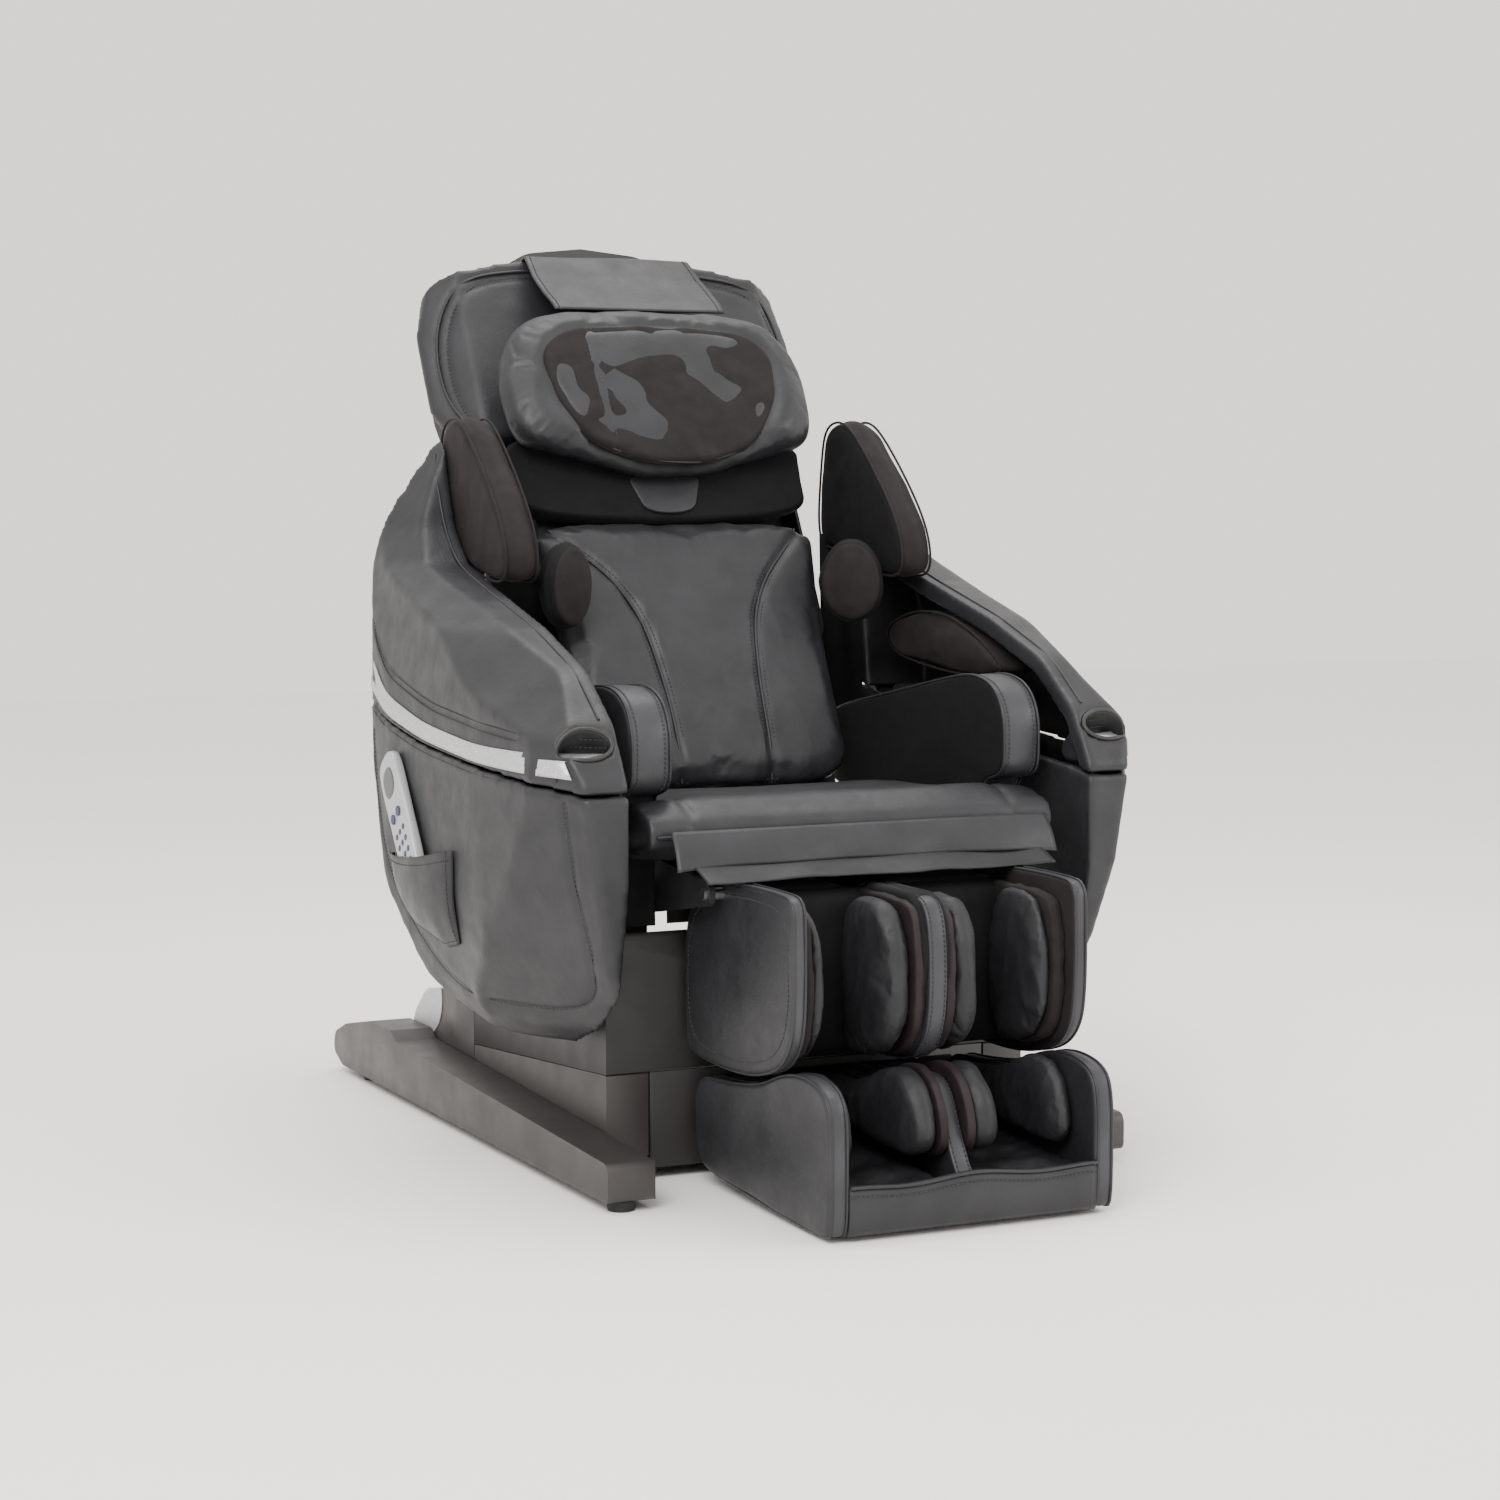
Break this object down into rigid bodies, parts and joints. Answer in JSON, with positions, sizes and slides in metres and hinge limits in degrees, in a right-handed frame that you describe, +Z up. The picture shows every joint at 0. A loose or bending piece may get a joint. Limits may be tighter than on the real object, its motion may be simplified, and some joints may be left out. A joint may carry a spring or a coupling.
{
  "type": "massage chair",
  "caption": "Reclining massage chair: padded seat with rollers in the back, tilting arm shells with hand ports, a swinging leg rest with a sliding foot unit, and a handset.",
  "frame": {"origin": "on the floor under the middle of the chair, at the centre of its bounding box", "axes": "+Z up, the chair faces -Y, +X is to the right seen from the front"},
  "size_m": [0.9354, 1.3456, 1.2652],
  "materials": {
    "steel_frame": "satin black powder coat",
    "bright_steel": "satin, zinc plated",
    "base_plastic": "fine grain, warm dark grey",
    "dark_plastic": "fine grain, near black",
    "silver_trim": "silver paint with fine metallic flake",
    "rubber": "matte",
    "switch_red": "gloss",
    "pump_grey": "satin",
    "leather_charcoal": "satin, pebbled grain",
    "fabric_black": "matte woven",
    "fabric_brown": "soft brushed, dark brown",
    "airbag_fabric": "soft coated fabric, slight sheen",
    "roller_plastic": "satin",
    "handset_silver": "silver paint"
  },
  "bodies": {
    "base": {"base_frame": "steel_frame", "runner_left": "base_plastic", "runner_right": "base_plastic", "runner_feet": "rubber", "side_cover_left": "base_plastic", "side_cover_right": "base_plastic", "front_cover": "dark_plastic", "base_skirt": "dark_plastic", "rear_cover": "base_plastic", "rear_trim": "silver_trim", "power_inlet": "dark_plastic", "control_box": "pump_grey", "air_pump": "pump_grey", "hinge_pins": "bright_steel", "seat_frame": "steel_frame", "seat_cushion": "leather_charcoal", "seat_flap": "leather_charcoal", "hip_pads": "fabric_black"},
    "wheel_left": {"wheel_left": "rubber"},
    "wheel_right": {"wheel_right": "rubber"},
    "power_switch": {"power_switch": "switch_red"},
    "recline_motor": {"recline_motor": "steel_frame"},
    "recline_rod": {"recline_rod": "bright_steel"},
    "leg_motor": {"leg_motor": "steel_frame"},
    "leg_rod": {"leg_rod": "bright_steel"},
    "backrest": {"back_frame": "steel_frame", "back_shell": "dark_plastic", "back_pad": "leather_charcoal", "neck_band": "fabric_black", "back_wings": "leather_charcoal", "top_cap": "dark_plastic"},
    "pillow": {"pillow": "leather_charcoal", "pillow_panel": "fabric_brown"},
    "carriage": {"carriage_frame": "pump_grey"},
    "knead_arm_left": {"knead_arm_left": "bright_steel"},
    "knead_arm_right": {"knead_arm_right": "bright_steel"},
    "roller_upper_left": {"roller_upper_left": "roller_plastic"},
    "roller_lower_left": {"roller_lower_left": "roller_plastic"},
    "roller_upper_right": {"roller_upper_right": "roller_plastic"},
    "roller_lower_right": {"roller_lower_right": "roller_plastic"},
    "legrest": {"calf_frame": "steel_frame", "calf_sides": "leather_charcoal", "calf_body": "airbag_fabric", "calf_airbags": "airbag_fabric"},
    "footrest": {"foot_frame": "bright_steel", "foot_shell": "leather_charcoal", "sole_pads": "fabric_black", "foot_airbags": "airbag_fabric"},
    "left_arm": {"arm_cover_left": "leather_charcoal", "arm_panel_left": "leather_charcoal", "arm_stripe_left": "silver_trim", "arm_pads_left": "fabric_brown", "side_pocket": "leather_charcoal"},
    "right_arm": {"arm_cover_right": "leather_charcoal", "arm_panel_right": "leather_charcoal", "arm_stripe_right": "silver_trim", "arm_pads_right": "fabric_brown"},
    "handset": {"handset": "handset_silver"},
    "key_start": {"key_start": "rubber"},
    "key_stop": {"key_stop": "rubber"}
  },
  "joints": [
    {"name": "backrest_recline", "type": "hinge", "parent": "base", "child": "backrest", "pos_m": [0, 0.065, 0.38], "axis": [-1, 0, 0], "range_deg": [0, 45]},
    {"name": "left_arm_tilt", "type": "hinge", "parent": "base", "child": "left_arm", "pos_m": [-0.334, 0.065, 0.38], "axis": [-1, 0, 0], "range_deg": [0, 18]},
    {"name": "right_arm_tilt", "type": "hinge", "parent": "base", "child": "right_arm", "pos_m": [0.334, 0.065, 0.38], "axis": [-1, 0, 0], "range_deg": [0, 18]},
    {"name": "legrest_swing", "type": "hinge", "parent": "base", "child": "legrest", "pos_m": [0, -0.395, 0.392], "axis": [-1, 0, 0], "range_deg": [0, 85], "deforming": ["seat_flap"]},
    {"name": "foot_slide", "type": "slide", "parent": "legrest", "child": "footrest", "axis": [0, 0, -1], "range_m": [0, 0.14]},
    {"name": "carriage_slide", "type": "slide", "parent": "backrest", "child": "carriage", "axis": [0, 0.4695, 0.8829], "range_m": [-0.15, 0.26]},
    {"name": "knead_left", "type": "hinge", "parent": "carriage", "child": "knead_arm_left", "pos_m": [0, 0.25675, 0.71955], "axis": [1, 0, 0], "range_deg": [-4.5, 4.5]},
    {"name": "knead_right", "type": "hinge", "parent": "carriage", "child": "knead_arm_right", "pos_m": [0, 0.25675, 0.71955], "axis": [1, 0, 0], "range_deg": [-4.5, 4.5]},
    {"name": "roller_upper_left_spin", "type": "hinge", "parent": "knead_arm_left", "child": "roller_upper_left", "pos_m": [-0.072, 0.27819, 0.78969], "axis": [1, 0, 0], "continuous": true},
    {"name": "roller_lower_left_spin", "type": "hinge", "parent": "knead_arm_left", "child": "roller_lower_left", "pos_m": [-0.072, 0.21059, 0.66255], "axis": [1, 0, 0], "continuous": true},
    {"name": "roller_upper_right_spin", "type": "hinge", "parent": "knead_arm_right", "child": "roller_upper_right", "pos_m": [0.072, 0.27819, 0.78969], "axis": [1, 0, 0], "continuous": true},
    {"name": "roller_lower_right_spin", "type": "hinge", "parent": "knead_arm_right", "child": "roller_lower_right", "pos_m": [0.072, 0.21059, 0.66255], "axis": [1, 0, 0], "continuous": true},
    {"name": "wheel_left_spin", "type": "hinge", "parent": "base", "child": "wheel_left", "pos_m": [-0.268, 0.44, 0.045], "axis": [1, 0, 0], "continuous": true},
    {"name": "wheel_right_spin", "type": "hinge", "parent": "base", "child": "wheel_right", "pos_m": [0.268, 0.44, 0.045], "axis": [1, 0, 0], "continuous": true},
    {"name": "power_rocker", "type": "hinge", "parent": "base", "child": "power_switch", "pos_m": [0.12, 0.488, 0.05], "axis": [1, 0, 0], "range_deg": [-6, 6]},
    {"name": "recline_motor_tilt", "type": "hinge", "parent": "base", "child": "recline_motor", "pos_m": [0.08, -0.215, 0.15], "axis": [1, 0, 0], "range_deg": [0, 12]},
    {"name": "recline_rod_stroke", "type": "slide", "parent": "recline_motor", "child": "recline_rod", "axis": [0, 0.9285, 0.3714], "range_m": [-0.068, 0]},
    {"name": "leg_motor_tilt", "type": "hinge", "parent": "base", "child": "leg_motor", "pos_m": [0, -0.06, 0.25], "axis": [1, 0, 0], "range_deg": [0, 6.5]},
    {"name": "leg_rod_stroke", "type": "slide", "parent": "leg_motor", "child": "leg_rod", "axis": [0, -0.963, 0.2696], "range_m": [0, 0.118]},
    {"name": "pillow_flip", "type": "hinge", "parent": "backrest", "child": "pillow", "pos_m": [0, 0.53119, 1.21013], "axis": [-1, 0, 0], "range_deg": [0, 60]},
    {"name": "handset_slide", "type": "slide", "parent": "left_arm", "child": "handset", "axis": [0, 0.5878, 0.809], "range_m": [0, 0.15]},
    {"name": "key_start_press", "type": "slide", "parent": "handset", "child": "key_start", "axis": [1, 0, 0], "range_m": [0, 0.0015], "stiffness_N_per_m": 600, "springref_m": -0.0005},
    {"name": "key_stop_press", "type": "slide", "parent": "handset", "child": "key_stop", "axis": [1, 0, 0], "range_m": [0, 0.0015], "stiffness_N_per_m": 600, "springref_m": -0.0005}
  ],
  "couplings": [
    {"joint": "left_arm_tilt", "follows": "backrest_recline", "ratio": 0.4},
    {"joint": "right_arm_tilt", "follows": "backrest_recline", "ratio": 0.4},
    {"joint": "recline_motor_tilt", "follows": "backrest_recline", "ratio": 0.238},
    {"joint": "recline_rod_stroke", "follows": "backrest_recline", "m_per_rad": -0.0845},
    {"joint": "leg_motor_tilt", "follows": "legrest_swing", "ratio": 0.07},
    {"joint": "leg_rod_stroke", "follows": "legrest_swing", "m_per_rad": 0.0784},
    {"joint": "knead_right", "follows": "knead_left", "ratio": -1}
  ]
}
